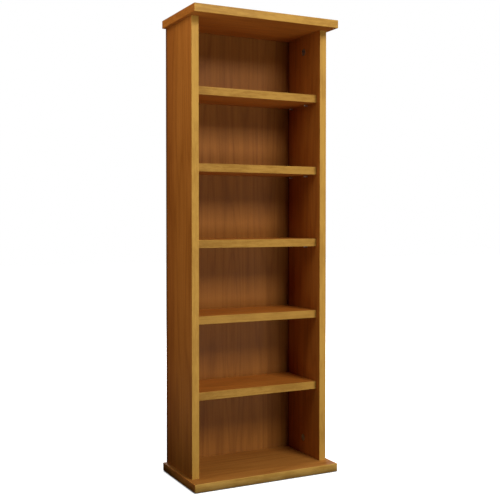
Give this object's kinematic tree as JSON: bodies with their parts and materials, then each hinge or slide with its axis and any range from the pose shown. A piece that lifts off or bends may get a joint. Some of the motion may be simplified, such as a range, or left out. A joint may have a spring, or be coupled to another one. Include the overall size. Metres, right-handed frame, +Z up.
{
  "type": "disc storage tower",
  "caption": "Tall narrow open tower for disc cases: boards with an overhanging top and base, loose shelves on pins, and a thin nailed back.",
  "frame": {"origin": "on the floor, under the middle of the tower's overall box", "axes": "+Z up, the open front faces -Y, +X to the viewer's right when facing the front"},
  "size_m": [0.32, 0.1714, 0.93],
  "materials": {
    "board": "satin melamine-faced board, honey-brown alder print with fine vertical grain",
    "edge_band": "satin melamine edge band, lighter golden wood print",
    "back_board": "thin hardboard with a matt brown print",
    "beech": "bare fluted beech dowel",
    "cam_zinc": "die-cast zinc, dull grey",
    "bolt_steel": "zinc-plated steel",
    "pin_steel": "nickel-plated steel pin",
    "nail_steel": "bright steel nail",
    "glide_plastic": "brown plastic glide"
  },
  "bodies": {
    "carcass": {"base_panel": "board", "top_panel": "board", "side_panel_left": "board", "side_panel_right": "board", "back_panel": "back_board", "shelf_pin_1_front_left": "pin_steel", "shelf_pin_1_rear_left": "pin_steel", "shelf_pin_1_front_right": "pin_steel", "shelf_pin_1_rear_right": "pin_steel", "shelf_pin_2_front_left": "pin_steel", "shelf_pin_2_rear_left": "pin_steel", "shelf_pin_2_front_right": "pin_steel", "shelf_pin_2_rear_right": "pin_steel", "shelf_pin_3_front_left": "pin_steel", "shelf_pin_3_rear_left": "pin_steel", "shelf_pin_3_front_right": "pin_steel", "shelf_pin_3_rear_right": "pin_steel", "shelf_pin_4_front_left": "pin_steel", "shelf_pin_4_rear_left": "pin_steel", "shelf_pin_4_front_right": "pin_steel", "shelf_pin_4_rear_right": "pin_steel", "shelf_pin_5_front_left": "pin_steel", "shelf_pin_5_rear_left": "pin_steel", "shelf_pin_5_front_right": "pin_steel", "shelf_pin_5_rear_right": "pin_steel", "cam_bolt_top_left": "bolt_steel", "cam_bolt_top_right": "bolt_steel", "cam_bolt_base_left": "bolt_steel", "cam_bolt_base_right": "bolt_steel", "dowel_top_front_left": "beech", "dowel_top_rear_left": "beech", "dowel_top_front_right": "beech", "dowel_top_rear_right": "beech", "dowel_base_front_left": "beech", "dowel_base_rear_left": "beech", "dowel_base_front_right": "beech", "dowel_base_rear_right": "beech", "back_nail_left_1": "nail_steel", "back_nail_left_2": "nail_steel", "back_nail_left_3": "nail_steel", "back_nail_right_1": "nail_steel", "back_nail_right_2": "nail_steel", "back_nail_right_3": "nail_steel", "back_nail_top": "nail_steel", "back_nail_base": "nail_steel", "glide_front_left": "glide_plastic", "glide_front_right": "glide_plastic", "glide_rear_left": "glide_plastic", "glide_rear_right": "glide_plastic"},
    "shelf_1": {"shelf_1": "board"},
    "shelf_2": {"shelf_2": "board"},
    "shelf_3": {"shelf_3": "board"},
    "shelf_4": {"shelf_4": "board"},
    "shelf_5": {"shelf_5": "board"},
    "cam_lock_top_left": {"cam_lock_top_left": "cam_zinc"},
    "cam_lock_top_right": {"cam_lock_top_right": "cam_zinc"},
    "cam_lock_base_left": {"cam_lock_base_left": "cam_zinc"},
    "cam_lock_base_right": {"cam_lock_base_right": "cam_zinc"}
  },
  "joints": [
    {"name": "shelf_1_draw", "type": "slide", "parent": "carcass", "child": "shelf_1", "axis": [0, -1, 0], "range_m": [0, 0.18]},
    {"name": "shelf_2_draw", "type": "slide", "parent": "carcass", "child": "shelf_2", "axis": [0, -1, 0], "range_m": [0, 0.18]},
    {"name": "shelf_3_draw", "type": "slide", "parent": "carcass", "child": "shelf_3", "axis": [0, -1, 0], "range_m": [0, 0.18]},
    {"name": "shelf_4_draw", "type": "slide", "parent": "carcass", "child": "shelf_4", "axis": [0, -1, 0], "range_m": [0, 0.18]},
    {"name": "shelf_5_draw", "type": "slide", "parent": "carcass", "child": "shelf_5", "axis": [0, -1, 0], "range_m": [0, 0.18]},
    {"name": "cam_top_left_turn", "type": "hinge", "parent": "carcass", "child": "cam_lock_top_left", "pos_m": [-0.1367, 0.01525, 0.88], "axis": [1, 0, 0], "range_deg": [0, 180]},
    {"name": "cam_top_right_turn", "type": "hinge", "parent": "carcass", "child": "cam_lock_top_right", "pos_m": [0.1367, 0.01525, 0.88], "axis": [-1, 0, 0], "range_deg": [0, 180]},
    {"name": "cam_base_left_turn", "type": "hinge", "parent": "carcass", "child": "cam_lock_base_left", "pos_m": [-0.1367, 0.01525, 0.051], "axis": [1, 0, 0], "range_deg": [0, 180]},
    {"name": "cam_base_right_turn", "type": "hinge", "parent": "carcass", "child": "cam_lock_base_right", "pos_m": [0.1367, 0.01525, 0.051], "axis": [-1, 0, 0], "range_deg": [0, 180]}
  ]
}
